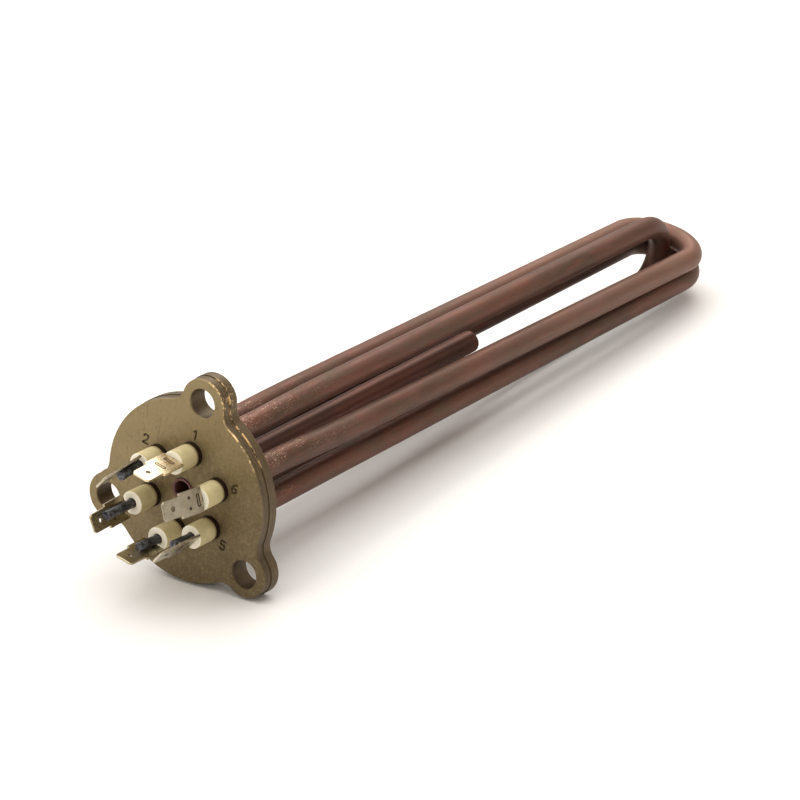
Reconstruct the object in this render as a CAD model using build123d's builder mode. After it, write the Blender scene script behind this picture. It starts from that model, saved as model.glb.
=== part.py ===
from build123d import *

import os
from math import atan2, cos, degrees, hypot, radians, sin, tan

# Immersion heating element: a forged brass flange with three bolt lugs, three
# copper-sheathed hairpin loops, a central sensor pocket, and six terminals.
# Millimetres. The element lies as it comes to rest on a table: on the flange's
# rim, one lug, and the far end of the loops. +X runs along the loops, +Z is up.

# ---------------------------------------------------------------- dimensions
# resting attitude of the flange
rest_roll = 14.545          # the in-plane "up" direction is 90 + this, from local +X
rest_pitch = 3.293          # the loops slope down towards their far end
rest_x = -136.892           # place of the datum plane's centre
rest_y = -4.144
rest_z = 31.887

# flange
disc_r = 31.3
front_z = 0.4               # front face, above the datum plane of the terminals
flange_t = 7.6
parting_z = -3.5            # forging line, measured from the datum plane
skirt = 0.25                # the rear half of the forging stands this much proud
lug_pcr = 33.0
lug_hole_r = 4.9
lug_hole_break = 0.15
lug_r = 8.15
lug_blend = 6.0
face_round = 0.5
back_round = 0.4
recess_r = 20.5             # the rear face is set back round the tubes,
recess_depth = 1.0          # which leaves a ring for the gasket
numeral_r = 21.3
numeral_depth = 0.45
stroke = 0.72

# terminal circle: terminal number -> angle on the flange
term_pcr = 14.3
term_angle = {1: 90.0, 2: 150.0, 3: 210.0, 4: 270.0, 5: 330.0, 6: 30.0}

# heating loops: copper sheath, magnesia fill, coil sleeve
sheath_r = 4.15
sheath_bore = 3.35
sheath_out = 2.0            # the sheath ends stand this far out of the front face
fit_gap = 0.05              # brazing clearance around each tube
coil_r = 1.8                # the wound coil with its filling, as one rod
cold_end = -28.0            # the pins end and the coil begins here
corner_z = -34.0            # the legs leave the cold ends with a slight bend here,
knee_z = -62.0              # and straighten out here
bend_run = 5.5              # half length of the bend at the cold end
knee_run = 12.0             # half length of the bend at the knee
# each loop: first terminal, last terminal, knee, far corner, far corner, knee
loops = {
    "1_4": (1, 4, (-0.65, 14.90), (-1.80, 15.80, -284.8), (-2.40, -12.80, -290.0), (-0.35, -14.05)),
    "2_6": (2, 6, (-13.30, 7.35), (-15.70, 5.70, -293.6), (12.10, 5.20, -297.0), (12.80, 6.50)),
    "3_5": (3, 5, (-14.00, -5.40), (-16.20, -2.90, -301.5), (11.90, -3.30, -298.6), (12.47, -6.50)),
}

# sensor pocket: a blind tube, very slightly tilted in the flange
pocket_r = 3.95
pocket_bore = 3.15
pocket_mouth = (-0.55, 0.50, 1.0)
pocket_end = (-2.30, 2.15, -163.6)
pocket_floor = 1.5
braze_w = 1.0               # braze rings in the recess

# terminals
bush_r = 3.95
bush_face = 10.2
spigot_r = 3.2
spigot_len = 5.0
seal_len = 4.0
pin_r = 1.55
pin_gap = 0.1
tab_w = 6.3
tab_t = 0.8
tab_base_w = 8.2
tab_len = 17.7
blade_len = 8.0
tab_hole_r = 0.8
tab_hole_back = 4.3
nip = 0.7
lead_in = 0.2
tab_inner = 1.2             # the tab's inner face, from the pin's axis
lean_z = 11.2               # a leaning terminal bends here, just above its bush
# oval rings stamped in the base, measured back from the tip
ring_len = 4.4
ring_w = 1.4
ring_line = 0.45
ring_depth = 0.3
ring_back = (10.7, 15.3)
# one tab has two round dimples in place of its upper ring
dimpled_tab = 6
dimple_r = 0.5
dimple_pitch = 3.5
dimple_back = 11.9
dimpled_ring_back = 15.9
# turn of the tab about its pin, lean towards the axis, sideways tilt and shift
# of the tab on its pin, tip height, pin height
terminal = {
    1: (-2.5, 0.0, -2.2, -0.2, 28.3, 19.0),
    2: (-0.6, 3.7, 3.5, 0.05, 28.4, 20.2),
    3: (3.0, 1.5, 1.9, 0.35, 29.3, 23.6),
    4: (-3.4, 4.5, 3.8, 0.1, 28.9, 20.0),
    5: (0.5, 2.3, -1.0, 0.15, 28.1, 19.2),
    6: (0.0, 4.0, 3.7, 0.35, 28.2, 18.8),
}

os.makedirs("parts", exist_ok=True)

# ------------------------------------------------------------ flange plane
# local +Z is the flange's outward normal (terminal side), local +Y points to
# lug 1; z = 0 is the datum plane, just under the front face.
cp, sp = cos(radians(rest_pitch)), sin(radians(rest_pitch))
cr, sr = cos(radians(rest_roll)), sin(radians(rest_roll))
face = Plane(
    origin=(rest_x, rest_y, rest_z),
    x_dir=(-sr * sp, -cr, -sr * cp),
    z_dir=(-cp, 0, sp),
)


def at(x, y, z):
    """A point given on the flange, in the model's frame."""
    return face.from_local_coords(Vector(x, y, z))


def on_circle(n):
    a = radians(term_angle[n])
    return term_pcr * cos(a), term_pcr * sin(a)


def pocket_at(z):
    """Where the pocket's slanted axis crosses a height on the flange."""
    k = (z - pocket_mouth[2]) / (pocket_end[2] - pocket_mouth[2])
    return tuple(pocket_mouth[i] + k * (pocket_end[i] - pocket_mouth[i]) for i in (0, 1))


# ---------------------------------------------------------------- the flange
def flange_outline(grow):
    """Disc with three blended lugs, as the active sketch's outline."""
    Circle(disc_r + grow)
    with PolarLocations(lug_pcr, 3, start_angle=90):
        Circle(lug_r + grow)
    corners = [
        v
        for v in vertices()
        if abs(Vector(v.X, v.Y, 0).length - (disc_r + grow)) < 0.01
        and any(
            abs((Vector(v.X, v.Y, 0) - Vector(lug_pcr * cos(radians(a)), lug_pcr * sin(radians(a)), 0)).length - (lug_r + grow)) < 0.01
            for a in (90, 210, 330)
        )
    ]
    fillet(corners, lug_blend - grow)


numerals = {
    1: [[(-0.75, 0.95), (0.05, 1.6), (0.05, -1.6)]],
    2: [[(-0.95, 0.85), (-0.6, 1.45), (0.05, 1.6), (0.75, 1.3), (0.9, 0.6), (0.5, -0.1), (-0.95, -1.55), (1.0, -1.55)]],
    3: [[(-0.9, 1.25), (-0.2, 1.6), (0.65, 1.35), (0.85, 0.75), (0.5, 0.2), (-0.15, 0.1), (0.7, -0.2), (0.95, -0.85), (0.6, -1.4), (-0.2, -1.6), (-0.95, -1.2)]],
    4: [[(0.45, 1.6), (-1.0, -0.65), (1.05, -0.65)], [(0.45, -1.6), (0.45, 1.35)]],
    5: [[(0.85, 1.55), (-0.7, 1.55), (-0.85, 0.15), (0.1, 0.35), (0.8, -0.1), (0.9, -0.8), (0.45, -1.45), (-0.3, -1.6), (-0.95, -1.2)]],
    6: [[(0.7, 1.5), (0.0, 1.3), (-0.65, 0.6), (-0.9, -0.5), (-0.6, -1.35), (0.1, -1.6), (0.75, -1.25), (0.9, -0.55), (0.5, 0.05), (-0.15, 0.1), (-0.75, -0.3)]],
}

rear_z = front_z - flange_t

with BuildPart() as mounting_flange:
    # rear half of the forging
    with BuildSketch(face.offset(rear_z)):
        flange_outline(skirt)
    extrude(amount=parting_z - rear_z)
    # front half
    with BuildSketch(face.offset(parting_z)):
        flange_outline(0)
    extrude(amount=front_z - parting_z)
    rims = mounting_flange.faces().filter_by(GeomType.PLANE).filter_by(
        lambda f: abs(abs(f.normal_at().dot(face.z_dir)) - 1) < 1e-6
    )
    front_rim = rims.sort_by(lambda f: face.to_local_coords(f.center()).Z)[-1]
    back_rim = rims.sort_by(lambda f: face.to_local_coords(f.center()).Z)[0]
    fillet(front_rim.outer_wire().edges(), face_round)
    fillet(back_rim.outer_wire().edges(), back_round)
    # bolt holes with a broken edge
    with Locations(face.offset(front_z)):
        with PolarLocations(lug_pcr, 3, start_angle=90):
            CounterSinkHole(lug_hole_r, lug_hole_r + lug_hole_break, counter_sink_angle=90)
    # holes for the six sheath ends
    with BuildSketch(face.offset(front_z)) as tube_holes:
        with PolarLocations(term_pcr, 6, start_angle=30):
            Circle(sheath_r + fit_gap)
        with Locations(pocket_at((front_z + rear_z) / 2)):
            Circle(pocket_r + 2 * fit_gap)
    extrude(amount=-flange_t, mode=Mode.SUBTRACT)
    # the tubes are brazed in a shallow recess behind the flange
    with BuildSketch(face.offset(rear_z)):
        Circle(recess_r)
    extrude(amount=recess_depth, mode=Mode.SUBTRACT)
    # terminal numerals
    for n, paths in numerals.items():
        a = radians(term_angle[n])
        nx, ny = numeral_r * cos(a), numeral_r * sin(a)
        with BuildSketch(face.offset(front_z)):
            for pts in paths:
                for (x0, y0), (x1, y1) in zip(pts, pts[1:]):
                    with Locations((nx + (x0 + x1) / 2, ny + (y0 + y1) / 2)):
                        SlotCenterToCenter(hypot(x1 - x0, y1 - y0), stroke, rotation=degrees(atan2(y1 - y0, x1 - x0)))
        extrude(amount=-numeral_depth, mode=Mode.SUBTRACT)

mounting_flange.part.label = "mounting_flange"
export_step(mounting_flange.part, "parts/mounting_flange.step")


# ------------------------------------------------------------- heating loops
def loop_path(name, start):
    """Straight runs joined by tangent arcs, from one terminal to the other."""
    a, b, k1, c1, c2, k2 = loops[name]
    pts = [
        (*on_circle(a), start), (*on_circle(a), corner_z), (*k1, knee_z), c1,
        c2, (*k2, knee_z), (*on_circle(b), corner_z), (*on_circle(b), start),
    ]
    pts = [at(*p) for p in pts]
    far_run = 0.485 * (pts[4] - pts[3]).length
    runs = (bend_run, knee_run, far_run, far_run, knee_run, bend_run)
    radii = []
    for i, run in enumerate(runs, 1):
        turn = (pts[i] - pts[i - 1]).get_angle(pts[i + 1] - pts[i])
        radii.append(run / tan(radians(turn / 2)))
    with BuildLine() as path:
        FilletPolyline(*pts, radius=radii)
    print(name, "bend radii", [round(r, 1) for r in radii], "length", round(path.wire().length, 1))
    return path.wire()


def ring_on(n, z, outer, inner, length):
    """A tube round terminal n's axis, from height z towards the far end."""
    with BuildSketch(face.offset(z)) as ring:
        with Locations(on_circle(n)):
            Circle(outer)
            Circle(inner, mode=Mode.SUBTRACT)
    extrude(ring.sketch, amount=-length)


seal_z = sheath_out - spigot_len
fill_z = seal_z - seal_len

for name in loops:
    a, b = loops[name][:2]

    # copper sheath, bent as one hairpin
    sheath_start = Plane(origin=at(*on_circle(a), sheath_out), x_dir=face.x_dir, z_dir=-face.z_dir)
    sheath_path = loop_path(name, sheath_out)
    with BuildPart() as sheath:
        with BuildSketch(sheath_start):
            Circle(sheath_r)
            Circle(sheath_bore, mode=Mode.SUBTRACT)
        sweep(path=sheath_path)
    sheath.part.label = "sheath_" + name
    export_step(sheath.part, "parts/sheath_" + name + ".step")

    # resistance coil between the inner ends of the two pins
    coil_start = Plane(origin=at(*on_circle(a), cold_end), x_dir=face.x_dir, z_dir=-face.z_dir)
    coil_path = loop_path(name, cold_end)
    with BuildPart() as resistance_coil:
        with BuildSketch(coil_start):
            Circle(coil_r)
        sweep(path=coil_path)
    resistance_coil.part.label = "resistance_coil_" + name
    export_step(resistance_coil.part, "parts/resistance_coil_" + name + ".step")

    # packed magnesia round the coil and the pins
    with BuildPart() as magnesia:
        with BuildSketch(coil_start):
            Circle(sheath_bore)
            Circle(coil_r, mode=Mode.SUBTRACT)
        sweep(path=coil_path)
        for n in (a, b):
            ring_on(n, fill_z, sheath_bore, pin_r, fill_z - cold_end)
    magnesia.part.label = "magnesia_" + name
    export_step(magnesia.part, "parts/magnesia_" + name + ".step")


# ------------------------------------------------------------- sensor pocket
pocket_dir = (at(*pocket_mouth) - at(*pocket_end)).normalized()
pocket_len = (at(*pocket_mouth) - at(*pocket_end)).length
pocket_top = Plane(origin=at(*pocket_mouth), x_dir=face.x_dir, z_dir=pocket_dir)

with BuildPart() as thermostat_pocket:
    with BuildSketch(pocket_top):
        Circle(pocket_r)
    extrude(amount=-pocket_len)
    closed_end = thermostat_pocket.faces().sort_by(lambda f: -pocket_top.to_local_coords(f.center()).Z)[-1]
    fillet(closed_end.edges(), 1.0)
    with BuildSketch(pocket_top):
        Circle(pocket_bore)
    extrude(amount=-(pocket_len - pocket_floor), mode=Mode.SUBTRACT)
    mouth_edge = thermostat_pocket.edges().filter_by(GeomType.CIRCLE).filter_by(
        lambda e: abs(pocket_top.to_local_coords(e.arc_center).Z) < 1e-6 and abs(e.radius - pocket_bore) < 1e-6
    )
    chamfer(mouth_edge, 0.25)
thermostat_pocket.part.label = "thermostat_pocket"
export_step(thermostat_pocket.part, "parts/thermostat_pocket.step")


# -------------------------------------------- braze rings in the recess
def braze_ring(cx, cy, tube_r):
    """A concave fillet of solder between the recess and one tube."""
    radial = Plane(origin=at(cx, cy, rear_z + recess_depth), x_dir=face.x_dir, z_dir=-face.y_dir)
    with BuildSketch(radial) as section:
        with BuildLine():
            Line((tube_r, 0), (tube_r + braze_w, 0))
            ThreePointArc((tube_r + braze_w, 0), (tube_r + 0.3 * braze_w, -0.3 * braze_w), (tube_r, -braze_w))
            Line((tube_r, -braze_w), (tube_r, 0))
        make_face()
    revolve(section.sketch, axis=Axis(at(cx, cy, 0), face.z_dir))


for n in term_angle:
    with BuildPart() as braze:
        braze_ring(*on_circle(n), sheath_r)
    braze.part.label = f"braze_{n}"
    export_step(braze.part, f"parts/braze_{n}.step")

with BuildPart() as braze_pocket:
    braze_ring(*pocket_at(rear_z + recess_depth), pocket_r + fit_gap)
braze_pocket.part.label = "braze_pocket"
export_step(braze_pocket.part, "parts/braze_pocket.step")


# ----------------------------------------------------------------- terminals
for n, (turn, lean, tilt, shift, tip_z, pin_z) in terminal.items():
    cx, cy = on_circle(n)
    out = radians(term_angle[n] + turn)
    nx, ny = cos(out), sin(out)
    cl, sl = cos(radians(lean)), sin(radians(lean))
    ct, st = cos(radians(tilt)), sin(radians(tilt))
    # the terminal above its bush: up the pin, across it, and outward
    up = at(-nx * sl, -ny * sl, cl) - at(0, 0, 0)
    side = at(-ny, nx, 0) - at(0, 0, 0)
    outward = at(nx * cl, ny * cl, sl) - at(0, 0, 0)
    bend = at(cx, cy, lean_z)
    across = side * ct - up * st
    tab_face = Plane(origin=bend + outward * tab_inner + side * shift, x_dir=across, z_dir=outward)
    tip = (tip_z - lean_z) / cl
    shoulder = tip - blade_len
    foot = tip - tab_len

    # ceramic bush: a head on the sheath's end and a spigot inside it
    with BuildPart() as insulator:
        ring_on(n, bush_face, bush_r, pin_r + pin_gap, bush_face - sheath_out)
        ring_on(n, sheath_out, spigot_r, pin_r + pin_gap, spigot_len)
        rims = insulator.edges().filter_by(GeomType.CIRCLE).filter_by(
            lambda e: abs(face.to_local_coords(e.arc_center).Z - bush_face) < 1e-6
        )
        fillet(rims.sort_by(lambda e: e.radius)[-1], 0.4)
        chamfer(rims.sort_by(lambda e: e.radius)[0], 0.25)
    insulator.part.label = f"insulator_{n}"
    export_step(insulator.part, f"parts/insulator_{n}.step")

    # resin seal behind the bush
    with BuildPart() as end_seal:
        ring_on(n, seal_z, sheath_bore, pin_r, seal_len)
    end_seal.part.label = f"end_seal_{n}"
    export_step(end_seal.part, f"parts/end_seal_{n}.step")

    # terminal pin, with a flat where the tab is welded on
    with BuildPart() as terminal_pin:
        with BuildSketch(Plane(origin=at(cx, cy, cold_end), x_dir=face.x_dir, z_dir=face.z_dir)):
            Circle(pin_r)
        top = bend + up * ((pin_z - lean_z) / cl)
        if lean:
            with BuildLine():
                FilletPolyline(at(cx, cy, cold_end), bend, top, radius=0.6 / tan(radians(lean / 2)))
            sweep()
        else:
            extrude(amount=pin_z - cold_end)
        tip_face = terminal_pin.faces().filter_by(GeomType.PLANE).sort_by(lambda f: face.to_local_coords(f.center()).Z)[-1]
        fillet(tip_face.edges(), 0.35)
        with BuildSketch(tab_face):
            with Locations((0, (foot + tip) / 2)):
                Rectangle(tab_base_w, tip - foot)
        extrude(amount=1, mode=Mode.SUBTRACT)
    terminal_pin.part.label = f"terminal_pin_{n}"
    export_step(terminal_pin.part, f"parts/terminal_pin_{n}.step")

    # push-on tab: a blade on a wider grooved base
    with BuildPart() as terminal_tab:
        with BuildSketch(tab_face):
            with BuildLine():
                Polyline(
                    (-tab_base_w / 2, foot), (tab_base_w / 2, foot), (tab_base_w / 2, shoulder),
                    (tab_w / 2, shoulder), (tab_w / 2, tip - nip), (tab_w / 2 - nip, tip),
                    (-tab_w / 2 + nip, tip), (-tab_w / 2, tip - nip), (-tab_w / 2, shoulder),
                    (-tab_base_w / 2, shoulder), close=True,
                )
            make_face()
        extrude(amount=tab_t)
        leading = terminal_tab.edges().filter_by(
            lambda e: tab_face.to_local_coords(e.center()).Y > tip - nip - 0.01
            and abs(abs(tab_face.to_local_coords(e.center()).Z - tab_t / 2) - tab_t / 2) < 1e-6
        )
        chamfer(leading, lead_in)
        with BuildSketch(tab_face):
            with Locations((0, tip - tab_hole_back)):
                Circle(tab_hole_r)
        extrude(amount=tab_t, mode=Mode.SUBTRACT)
        with BuildSketch(tab_face.offset(tab_t)):
            backs = (dimpled_ring_back,) if n == dimpled_tab else ring_back
            for back in backs:
                with Locations((0, tip - back)):
                    SlotOverall(ring_len, ring_w)
                    SlotOverall(ring_len - 2 * ring_line, ring_w - 2 * ring_line, mode=Mode.SUBTRACT)
            if n == dimpled_tab:
                with Locations((-dimple_pitch / 2, tip - dimple_back), (dimple_pitch / 2, tip - dimple_back)):
                    Circle(dimple_r)
        extrude(amount=-ring_depth, mode=Mode.SUBTRACT)
    terminal_tab.part.label = f"terminal_tab_{n}"
    export_step(terminal_tab.part, f"parts/terminal_tab_{n}.step")
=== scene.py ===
import bpy
import bmesh
import random
from math import cos, radians, sin, pi
from mathutils import Matrix, Vector, noise

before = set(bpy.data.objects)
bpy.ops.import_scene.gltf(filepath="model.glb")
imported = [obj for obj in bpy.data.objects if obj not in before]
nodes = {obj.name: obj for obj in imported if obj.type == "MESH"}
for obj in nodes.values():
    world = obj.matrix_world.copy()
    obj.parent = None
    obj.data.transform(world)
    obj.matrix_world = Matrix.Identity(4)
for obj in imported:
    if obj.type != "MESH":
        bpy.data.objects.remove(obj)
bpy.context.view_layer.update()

# ------------------------------------------------------------- flange frame
# the flange's own axes in the row frame: Z out of the terminal face, Y to
# terminal 1, origin 0.4 mm under the middle of the terminal face (metres)
PITCH, ROLL = radians(3.293), radians(14.545)
cp, sp, cr, sr = cos(PITCH), sin(PITCH), cos(ROLL), sin(ROLL)
FX = Vector((-sr * sp, -cr, -sr * cp))
FZ = Vector((-cp, 0, sp))
FY = FZ.cross(FX)
FO = Vector((-0.136892, -0.004144, 0.031887))


def at(x, y, z):
    """Millimetres on the flange to metres in the row frame."""
    return FO + (FX * x + FY * y + FZ * z) * 0.001


FRAME = Matrix((
    (FX.x, FY.x, FZ.x, FO.x),
    (FX.y, FY.y, FZ.y, FO.y),
    (FX.z, FY.z, FZ.z, FO.z),
    (0, 0, 0, 1),
))
ANGLE = {1: 90, 2: 150, 3: 210, 4: 270, 5: 330, 6: 30}


# ---------------------------------------------------------------- materials
def lin(r, g, b):
    """8-bit screen colour to linear."""
    out = []
    for c in (r, g, b):
        c = c / 255
        out.append(c / 12.92 if c <= 0.04045 else ((c + 0.055) / 1.055) ** 2.4)
    return (*out, 1)


class Mat:
    """A small builder for procedural node materials."""

    def __init__(self, name, metallic=0.0, roughness=0.5, **sockets):
        self.m = bpy.data.materials.new(name)
        self.m.use_nodes = True
        self.t = self.m.node_tree
        self.b = self.t.nodes["Principled BSDF"]
        self.b.inputs["Metallic"].default_value = metallic
        self.b.inputs["Roughness"].default_value = roughness
        for k, v in sockets.items():
            self.b.inputs[k.replace("_", " ")].default_value = v
        self.coord = self.t.nodes.new("ShaderNodeTexCoord").outputs["Object"]

    def node(self, kind, **props):
        n = self.t.nodes.new(kind)
        for k, v in props.items():
            setattr(n, k, v)
        return n

    def link(self, a, b):
        self.t.links.new(a, b)

    def flange_coords(self):
        """Coordinates on the flange, in millimetres."""
        n = self.node("ShaderNodeMapping", vector_type="TEXTURE")
        n.inputs["Location"].default_value = FO
        n.inputs["Rotation"].default_value = FRAME.to_euler("XYZ")
        n.inputs["Scale"].default_value = (0.001, 0.001, 0.001)
        self.link(self.coord, n.inputs["Vector"])
        return n.outputs["Vector"]

    def scaled(self, src, sx, sy, sz, shift=(0, 0, 0)):
        n = self.node("ShaderNodeMapping")
        n.inputs["Scale"].default_value = (sx, sy, sz)
        n.inputs["Location"].default_value = shift
        self.link(src, n.inputs["Vector"])
        return n.outputs["Vector"]

    def noise(self, src, scale, detail=3.0, rough=0.55, distort=0.0):
        n = self.node("ShaderNodeTexNoise")
        n.inputs["Scale"].default_value = scale
        n.inputs["Detail"].default_value = detail
        n.inputs["Roughness"].default_value = rough
        n.inputs["Distortion"].default_value = distort
        self.link(src, n.inputs["Vector"])
        return n.outputs["Fac"]

    def voronoi(self, src, scale, feature="F1"):
        n = self.node("ShaderNodeTexVoronoi", feature=feature)
        n.inputs["Scale"].default_value = scale
        self.link(src, n.inputs["Vector"])
        return n.outputs["Distance"]

    def ramp(self, src, lo, hi, a=0.0, b=1.0, smooth=True):
        n = self.node("ShaderNodeMapRange", interpolation_type="SMOOTHSTEP" if smooth else "LINEAR")
        n.inputs["From Min"].default_value = lo
        n.inputs["From Max"].default_value = hi
        n.inputs["To Min"].default_value = a
        n.inputs["To Max"].default_value = b
        self.link(src, n.inputs["Value"])
        return n.outputs["Result"]

    def math(self, op, a, b=None):
        n = self.node("ShaderNodeMath", operation=op)
        for i, v in enumerate((a, b)):
            if v is None:
                continue
            if isinstance(v, (int, float)):
                n.inputs[i].default_value = v
            else:
                self.link(v, n.inputs[i])
        return n.outputs["Value"]

    def mix(self, fac, a, b, blend="MIX"):
        n = self.node("ShaderNodeMix", data_type="RGBA", blend_type=blend)
        n.clamp_factor = True
        if isinstance(fac, (int, float)):
            n.inputs["Factor"].default_value = fac
        else:
            self.link(fac, n.inputs["Factor"])
        for key, v in ((6, a), (7, b)):
            if isinstance(v, tuple):
                n.inputs[key].default_value = v
            else:
                self.link(v, n.inputs[key])
        return n.outputs[2]

    def split(self, src):
        n = self.node("ShaderNodeSeparateXYZ")
        self.link(src, n.inputs["Vector"])
        return n.outputs

    def bump(self, height, strength, distance):
        n = self.node("ShaderNodeBump")
        n.inputs["Strength"].default_value = strength
        n.inputs["Distance"].default_value = distance
        self.link(height, n.inputs["Height"])
        self.link(n.outputs["Normal"], self.b.inputs["Normal"])

    def colour(self, src):
        self.link(src, self.b.inputs["Base Color"])

    def rough(self, src):
        self.link(src, self.b.inputs["Roughness"])


def brass_material():
    m = Mat("tarnished_brass", metallic=0.55, roughness=0.5)
    c = m.flange_coords()
    x, y, z = m.split(c)
    cloud = m.noise(c, 0.10, 4, 0.6)
    fine = m.noise(c, 1.3, 4, 0.65)
    grain = m.noise(c, 4.5, 2, 0.6)
    # the face is lightest at the upper left and darkens to the lower right
    slope = m.math("ADD", m.math("MULTIPLY", x, -0.62), m.math("MULTIPLY", y, 0.78))
    slope = m.math("ADD", slope, m.math("MULTIPLY", m.math("SUBTRACT", cloud, 0.5), 34))
    col = m.mix(m.ramp(slope, -30, 32), lin(96, 81, 54), lin(140, 123, 87))
    col = m.mix(m.ramp(fine, 0.42, 0.75, 0, 0.45), col, lin(158, 142, 106))
    col = m.mix(m.ramp(m.noise(c, 0.42, 5, 0.7), 0.54, 0.75, 0, 0.45), col, lin(78, 64, 40))
    col = m.mix(m.ramp(m.noise(c, 2.6, 3, 0.7), 0.58, 0.74, 0, 0.4), col, lin(72, 58, 34))
    # faint flow marks of the forging
    flow = m.noise(m.scaled(c, 0.9, 0.16, 0.5, shift=(2, 1, 0)), 1.0, 4, 0.6, 1.2)
    col = m.mix(m.ramp(flow, 0.55, 0.72, 0, 0.35), col, lin(80, 68, 42))
    # the side of the forging is darker, with a grain that runs round it
    side = m.ramp(z, 0.05, -0.45)
    rings = m.noise(m.scaled(c, 0.10, 0.10, 2.2), 1.0, 4, 0.7)
    dark = m.mix(m.ramp(rings, 0.35, 0.68), lin(60, 46, 30), lin(98, 80, 54))
    dark = m.mix(m.ramp(fine, 0.5, 0.75, 0, 0.4), dark, lin(124, 104, 72))
    radius = m.math("SQRT", m.math("ADD", m.math("MULTIPLY", x, x), m.math("MULTIPLY", y, y)))
    col = m.mix(m.math("MULTIPLY", side, 0.85), col, dark)
    # bare metal where the edges have been knocked, painted bright gold as a glint (painted highlight): the upper right
    # of the rim and lug 1
    where = m.math("ADD", m.math("MULTIPLY", x, 0.80), m.math("MULTIPLY", y, 0.60))
    knocked = m.math("MULTIPLY", m.ramp(where, 24.5, 27.0), m.ramp(y, 17.5, 24.0))
    edge = m.math("MULTIPLY", m.ramp(z, 0.36, 0.22), m.ramp(z, -0.45, -0.2))
    mid = m.math("SUBTRACT", 1.0, m.ramp(m.math("ABSOLUTE", m.math("ADD", z, 3.5)), 0.16, 0.30))
    line = m.math("ADD", edge, mid)
    chips = m.ramp(m.noise(m.scaled(c, 0.45, 0.45, 1.1), 1.0, 4, 0.7), 0.47, 0.53)
    wear_and_glint = m.math("MULTIPLY", m.math("MULTIPLY", line, knocked), chips)
    # painted glints: bright specks on lug 1, on partly worn bare metal
    specks = m.ramp(m.noise(m.scaled(c, 0.9, 0.9, 0.9, shift=(3, 7, 1)), 1.0, 4, 0.8, 0.8), 0.585, 0.62)
    lug = m.math("MULTIPLY", m.ramp(y, 30, 35), m.ramp(x, 2.5, 5.5))
    wear_and_glint = m.math("MAXIMUM", wear_and_glint, m.math("MULTIPLY", m.math("MULTIPLY", specks, lug), side))
    # the bright gold colour is a painted highlight on the worn bare metal
    col = m.mix(wear_and_glint, col, lin(250, 214, 158))
    # numerals stamped in the face
    inked = m.math("MULTIPLY", m.ramp(z, 0.34, 0.12), m.ramp(z, -0.2, -0.1))
    belt = m.math("MULTIPLY", m.ramp(radius, 18.2, 18.6), m.ramp(radius, 24.6, 24.2))
    col = m.mix(m.math("MULTIPLY", m.math("MULTIPLY", inked, belt), 0.7), col, lin(62, 46, 28))
    # darker in noisy blotches towards the middle, within 20.5 mm, round the sheaths
    col = m.mix(m.math("MULTIPLY", m.ramp(radius, 20.5, 17.0, 0, 0.35), m.ramp(m.noise(c, 0.5, 4, 0.6), 0.4, 0.6)), col, lin(86, 70, 44))
    m.colour(col)
    m.rough(m.ramp(fine, 0.2, 0.8, 0.42, 0.56))
    m.bump(m.math("ADD", m.math("MULTIPLY", grain, 0.45), m.math("ADD", fine, m.math("MULTIPLY", rings, 0.5))), 0.45, 0.00012)
    return m.m


def copper_material(name, seed, speckle=0.0, light=0.0):
    m = Mat(name, metallic=0.5, roughness=0.5, Specular_IOR_Level=0.3)
    c = m.flange_coords()
    x, y, z = m.split(c)
    long = m.scaled(c, 0.09, 0.09, 0.020, shift=(seed, seed * 2.3, seed * 0.7))
    cloud = m.noise(long, 1.0, 4, 0.6, 0.4)
    cloud2 = m.noise(m.scaled(c, 0.2, 0.2, 0.05, shift=(seed * 3, 1, 2)), 1.0, 4, 0.65, 0.3)
    streak = m.noise(m.scaled(c, 1.4, 1.4, 0.08), 1.0, 3, 0.6)
    fine = m.noise(c, 2.2, 3, 0.6)
    col = m.mix(m.ramp(cloud, 0.36, 0.66), lin(104, 66, 53), lin(82, 58, 46))
    col = m.mix(m.ramp(cloud2, 0.44, 0.70, 0, 0.75), col, lin(92, 76, 61))
    col = m.mix(m.ramp(m.noise(m.scaled(c, 0.3, 0.3, 0.08, shift=(9, seed, 4)), 1.0, 4, 0.6), 0.5, 0.74, 0, 0.55), col, lin(120, 68, 55))
    col = m.mix(m.ramp(m.noise(m.scaled(c, 0.12, 0.12, 0.03, shift=(2, 6, seed)), 1.0, 4, 0.6), 0.52, 0.74, 0, 0.55), col, lin(104, 76, 72))
    col = m.mix(m.ramp(streak, 0.5, 0.8, 0, 0.2), col, lin(136, 104, 88))
    col = m.mix(m.ramp(fine, 0.55, 0.8, 0, 0.35), col, lin(54, 36, 29))
    if light:
        # towards the far end the sheath is painted lighter, a painted sheen standing in for the highlight from above
        # and behind
        col = m.mix(m.ramp(z, -80, -290, 0, light), col, lin(150, 114, 98))
    if speckle:
        # lime scale on the upper side of the hot end
        normal = m.split(m.node("ShaderNodeNewGeometry").outputs["Normal"])
        top = m.ramp(normal[2], -0.1, 0.45)
        patch = m.ramp(m.noise(m.scaled(c, 0.17, 0.17, 0.07, shift=(seed, 0, 5)), 1.0, 3, 0.6), 0.34, 0.50)
        near = m.math("ADD", m.ramp(z, -60, -32, 0, 0.8), m.ramp(z, -95, -60, 0, 0.2))
        flecks = m.ramp(m.noise(m.scaled(c, 1.15, 1.15, 0.8), 1.0, 5, 0.85, 1.6), 0.57, 0.61)
        mask = m.math("MULTIPLY", m.math("MULTIPLY", m.math("MULTIPLY", patch, near), top), m.math("MULTIPLY", flecks, speckle))
        col = m.mix(mask, col, lin(226, 186, 158))
    # the ends in the flange are painted near black: painted shade of the dark gap round the bushes
    col = m.mix(m.ramp(z, -1.2, -0.4), col, lin(46, 32, 24))
    m.colour(col)
    m.rough(m.ramp(cloud2, 0.3, 0.7, 0.44, 0.58))
    m.bump(m.math("ADD", m.math("MULTIPLY", fine, 0.7), streak), 0.2, 0.0001)
    return m.m


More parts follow.
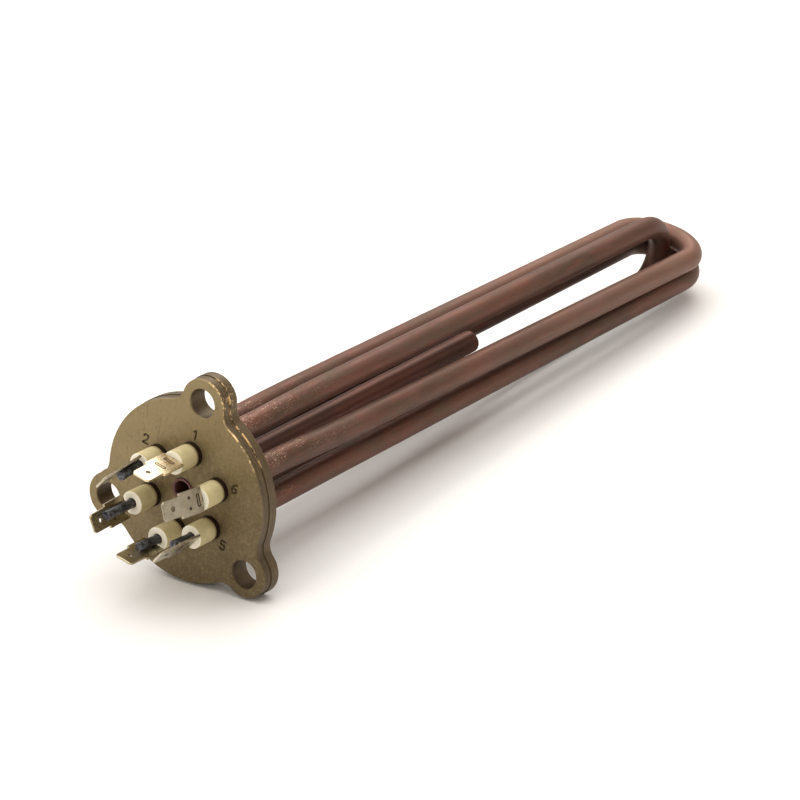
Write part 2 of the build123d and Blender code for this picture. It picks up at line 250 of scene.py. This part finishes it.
def pocket_material():
    m = Mat("oxidised_copper_pocket", metallic=0.5, roughness=0.48, Specular_IOR_Level=0.3)
    c = m.flange_coords()
    x, y, z = m.split(c)
    cloud = m.noise(m.scaled(c, 0.12, 0.12, 0.03), 1.0, 4, 0.6, 0.4)
    fine = m.noise(c, 2.0, 3, 0.6)
    col = m.mix(m.ramp(cloud, 0.36, 0.66), lin(108, 66, 52), lin(86, 58, 48))
    col = m.mix(m.ramp(fine, 0.5, 0.8, 0, 0.4), col, lin(70, 44, 36))
    # the mouth is mauve, and the bore behind it darker
    col = m.mix(m.ramp(z, -1.0, 0.6), col, lin(118, 84, 82))
    m.colour(col)
    m.bump(fine, 0.2, 0.0001)
    return m.m


def ceramic_material():
    m = Mat("cream_ceramic", roughness=0.55, Specular_IOR_Level=0.4)
    c = m.flange_coords()
    x, y, z = m.split(c)
    cloud = m.noise(c, 0.22, 3, 0.6)
    fine = m.noise(c, 2.6, 3, 0.6)
    col = m.mix(m.ramp(cloud, 0.3, 0.7), lin(216, 203, 158), lin(200, 186, 140))
    col = m.mix(m.ramp(fine, 0.58, 0.8, 0, 0.3), col, lin(176, 154, 108))
    # paler on the cut face, browner where the bush meets the sheath
    col = m.mix(m.ramp(z, 9.9, 10.15, 0, 0.9), col, lin(252, 246, 228))
    col = m.mix(m.ramp(z, 3.4, 2.1, 0, 0.75), col, lin(120, 96, 60))
    m.colour(col)
    m.bump(fine, 0.15, 0.00006)
    return m.m


def pin_material():
    m = Mat("slate_pin", metallic=0.5, roughness=0.4)
    c = m.flange_coords()
    x, y, z = m.split(c)
    drawn = m.noise(m.scaled(c, 1.6, 1.6, 0.35), 1.0, 4, 0.6, 0.4)
    fine = m.noise(c, 0.9, 3, 0.6, 0.6)
    col = m.mix(m.ramp(drawn, 0.4, 0.66), lin(42, 40, 43), lin(86, 86, 93))
    # the welds near the top are paler and bluer
    weld = m.math("MULTIPLY", m.ramp(z, 15.5, 17.5), m.ramp(fine, 0.44, 0.6))
    col = m.mix(m.math("MULTIPLY", weld, 0.6), col, lin(130, 136, 148))
    m.colour(col)
    m.rough(m.ramp(fine, 0.3, 0.7, 0.26, 0.42))
    m.bump(m.math("ADD", m.math("MULTIPLY", drawn, 0.5), fine), 0.5, 0.00025)
    return m.m


# each tab's turn, lean, sideways tilt, sideways shift and tip height
TABS = {
    1: (-2.5, 0.0, -2.2, -0.2, 28.3),
    2: (-0.6, 3.7, 3.5, 0.05, 28.4),
    3: (3.0, 1.5, 1.9, 0.35, 29.3),
    4: (-3.4, 4.5, 3.8, 0.1, 28.9),
    5: (0.5, 2.3, -1.0, 0.15, 28.1),
    6: (0.0, 4.0, 3.7, 0.35, 28.2),
}


def tab_frame(n):
    """Axes on the flange: across the tab, towards its tip, outward; origin at the tip."""
    turn, lean, tilt, shift, tip_z = TABS[n]
    a, l, t = radians(ANGLE[n]), radians(lean), radians(tilt)
    o = a + radians(turn)
    n0, side = Vector((cos(o), sin(o), 0)), Vector((-sin(o), cos(o), 0))
    up0 = Vector((-n0.x * sin(l), -n0.y * sin(l), cos(l)))
    outward = Vector((n0.x * cos(l), n0.y * cos(l), sin(l)))
    across, up = side * cos(t) - up0 * sin(t), up0 * cos(t) + side * sin(t)
    bend = Vector((14.3 * cos(a), 14.3 * sin(a), 11.2))
    tip = bend + outward * 1.2 + side * shift + up * ((tip_z - 11.2) / cos(l))
    return across, up, outward, tip


def tab_material(n, a, b, rough=0.28):
    m = Mat("plated_strip_%d" % n, metallic=0.95, roughness=rough)
    c = m.flange_coords()
    across, up, outward, tip = tab_frame(n)

    def along(axis):
        d = m.node("ShaderNodeVectorMath", operation="DOT_PRODUCT")
        m.link(c, d.inputs[0])
        d.inputs[1].default_value = axis
        return m.math("SUBTRACT", d.outputs["Value"], axis.dot(tip))

    u, v, w = along(across), along(up), along(outward)
    cloud = m.noise(c, 0.3, 4, 0.6)
    drawn = m.noise(m.scaled(c, 4.0, 4.0, 0.25), 1.0, 2, 0.5)
    col = m.mix(m.ramp(cloud, 0.35, 0.7), a, b)
    col = m.mix(m.ramp(m.noise(c, 1.8, 4, 0.7), 0.62, 0.76, 0, 0.4), col, lin(120, 106, 80))
    # painted shade darkens the stamped rings and the locking hole
    backs = (15.9,) if n == 6 else (10.7, 15.3)
    for back in backs:
        du = m.math("MAXIMUM", m.math("SUBTRACT", m.math("ABSOLUTE", u), 1.5), 0.0)
        dv = m.math("ADD", v, back)
        d = m.math("SQRT", m.math("ADD", m.math("MULTIPLY", du, du), m.math("MULTIPLY", dv, dv)))
        line = m.math("ABSOLUTE", m.math("SUBTRACT", d, 0.475))
        col = m.mix(m.ramp(line, 0.30, 0.14, 0, 0.85), col, lin(58, 46, 32))
    # painted shade in the locking hole and, on tab 6, in the two dimples
    spots = [(0.0, 4.3, 0.8)]
    if n == 6:
        spots += [(-1.75, 11.9, 0.5), (1.75, 11.9, 0.5)]
    for su, back, r in spots:
        du, dv = m.math("SUBTRACT", u, su), m.math("ADD", v, back)
        d = m.math("SQRT", m.math("ADD", m.math("MULTIPLY", du, du), m.math("MULTIPLY", dv, dv)))
        col = m.mix(m.ramp(d, r + 0.2, r, 0, 0.75), col, lin(64, 52, 38))
    m.colour(col)
    m.rough(m.ramp(drawn, 0.3, 0.7, rough - 0.05, rough + 0.08))
    m.bump(drawn, 0.08, 0.00004)
    return m.m


def plain_material(name, a, b, scale, metallic=0.0, rough=0.6, bump=0.2):
    m = Mat(name, metallic=metallic, roughness=rough)
    c = m.flange_coords()
    n = m.noise(c, scale, 4, 0.6)
    m.colour(m.mix(m.ramp(n, 0.35, 0.65), a, b))
    m.bump(n, bump, 0.0001)
    return m.m


def assign(obj, material):
    obj.data.materials.clear()
    obj.data.materials.append(material)


brass = brass_material()
assign(nodes["mounting_flange"], brass)
assign(nodes["sheath_1_4"], copper_material("oxidised_copper_1_4", 1.7, speckle=1.0))
assign(nodes["sheath_2_6"], copper_material("oxidised_copper_2_6", 5.2, speckle=1.0, light=0.4))
assign(nodes["sheath_3_5"], copper_material("oxidised_copper_3_5", 8.9, speckle=0.3))
assign(nodes["thermostat_pocket"], pocket_material())
ceramic = ceramic_material()
pin = pin_material()
# the six tabs are one plated strip painted in lit and shaded copies: lightest on tab 1, which faces the light, darker
# on tabs 3, 4 and 6 as painted shade
lit_and_shaded_tab_copies = {
    1: tab_material(1, lin(222, 205, 174), lin(208, 190, 156)),
    2: tab_material(2, lin(198, 190, 170), lin(176, 166, 144)),
    3: tab_material(3, lin(188, 176, 146), lin(160, 148, 118)),
    4: tab_material(4, lin(188, 176, 146), lin(160, 148, 118)),
    5: tab_material(5, lin(200, 190, 168), lin(178, 168, 146)),
    6: tab_material(6, lin(174, 164, 144), lin(156, 146, 126)),
}
braze = plain_material("braze_alloy", lin(170, 130, 88), lin(126, 88, 60), 0.8, 0.7, 0.45)
magnesia = plain_material("magnesia", lin(222, 218, 206), lin(206, 200, 188), 1.5)
coil = plain_material("wound_coil", lin(120, 116, 108), lin(90, 88, 84), 2.0, 0.5, 0.5)
resin = plain_material("resin_seal", lin(150, 84, 50), lin(120, 66, 40), 0.8, 0.0, 0.4)
for n, obj in nodes.items():
    if n.startswith("insulator"):
        assign(obj, ceramic)
    elif n.startswith("terminal_pin"):
        assign(obj, pin)
    elif n.startswith("terminal_tab"):
        assign(obj, lit_and_shaded_tab_copies[int(n[-1])])
    elif n.startswith("braze"):
        assign(obj, braze)
    elif n.startswith("magnesia"):
        assign(obj, magnesia)
    elif n.startswith("resistance_coil"):
        assign(obj, coil)
    elif n.startswith("end_seal"):
        assign(obj, resin)

# ------------------------------------------------------------ floor, lights
scene = bpy.context.scene
scene.view_settings.view_transform = "Standard"
scene.view_settings.look = "None"

mesh = bpy.data.meshes.new("studio_floor")
bm = bmesh.new()
bmesh.ops.create_grid(bm, x_segments=8, y_segments=8, size=6)
bm.to_mesh(mesh)
bm.free()
floor = bpy.data.objects.new("studio_floor", mesh)
scene.collection.objects.link(floor)
floor.location.z = -0.0002
fm = Mat("studio_paper", roughness=0.9, Specular_IOR_Level=0.1)
fm.colour(fm.mix(fm.ramp(fm.noise(fm.coord, 3.0, 2, 0.5), 0.3, 0.7), (0.86, 0.855, 0.845, 1), (0.87, 0.865, 0.855, 1)))
assign(floor, fm.m)

world = bpy.data.worlds.new("studio")
scene.world = world
world.use_nodes = True
wt = world.node_tree
direction = wt.nodes.new("ShaderNodeTexCoord").outputs["Generated"]
back = wt.nodes.new("ShaderNodeVectorMath")
back.operation = "DOT_PRODUCT"
back.inputs[1].default_value = Vector((0.45, 0.20, 0.87)).normalized()
wt.links.new(direction, back.inputs[0])
rise = wt.nodes.new("ShaderNodeMapRange")
rise.interpolation_type = "SMOOTHSTEP"
rise.inputs["From Min"].default_value = -0.35
rise.inputs["From Max"].default_value = 0.95
rise.inputs["To Min"].default_value = 0.0
rise.inputs["To Max"].default_value = 1.0
wt.links.new(back.outputs["Value"], rise.inputs["Value"])
sky = wt.nodes.new("ShaderNodeMix")
sky.data_type = "RGBA"
sky.inputs[6].default_value = (0.54, 0.48, 0.42, 1)
sky.inputs[7].default_value = (1.16, 1.07, 0.96, 1)
wt.links.new(rise.outputs["Result"], sky.inputs["Factor"])
wt.links.new(sky.outputs[2], wt.nodes["Background"].inputs["Color"])
wt.nodes["Background"].inputs["Strength"].default_value = 0.75


def area(name, pos, target, size, watts, colour=(1, 1, 1)):
    data = bpy.data.lights.new(name, "AREA")
    data.shape = "RECTANGLE"
    data.size, data.size_y = size
    data.energy = watts
    data.color = colour
    obj = bpy.data.objects.new(name, data)
    scene.collection.objects.link(obj)
    obj.location = pos
    obj.rotation_euler = (Vector(target) - Vector(pos)).to_track_quat("-Z", "Y").to_euler()
    return obj


area("overhead", (0.02, 0.28, 1.12), (0.02, 0, 0), (2.0, 2.0), 18, (0.97, 0.98, 1.0))
area("front_fill", (-1.5, 0.35, 0.55), (-0.13, 0, 0.03), (0.8, 0.8), 3.6, (1.0, 0.98, 0.94))
area("back_box", (0.85, 0.35, 0.80), (-0.13, 0, 0.03), (0.5, 0.5), 2.6, (1.0, 0.97, 0.92))

# ------------------------------------------------------------------- camera
cam_data = bpy.data.cameras.new("camera")
cam_data.sensor_width = 36
cam_data.lens = 180.639
cam_data.clip_start = 0.05
cam = bpy.data.objects.new("camera", cam_data)
scene.collection.objects.link(cam)
cam.matrix_world = Matrix((
    (0.58025606, 0.34233695, -0.73899142, -1.037827),
    (-0.81347418, 0.19957435, -0.54628733, -0.757389),
    (-0.03953061, 0.91813697, 0.39428649, 0.563485),
    (0, 0, 0, 1),
))
scene.camera = cam
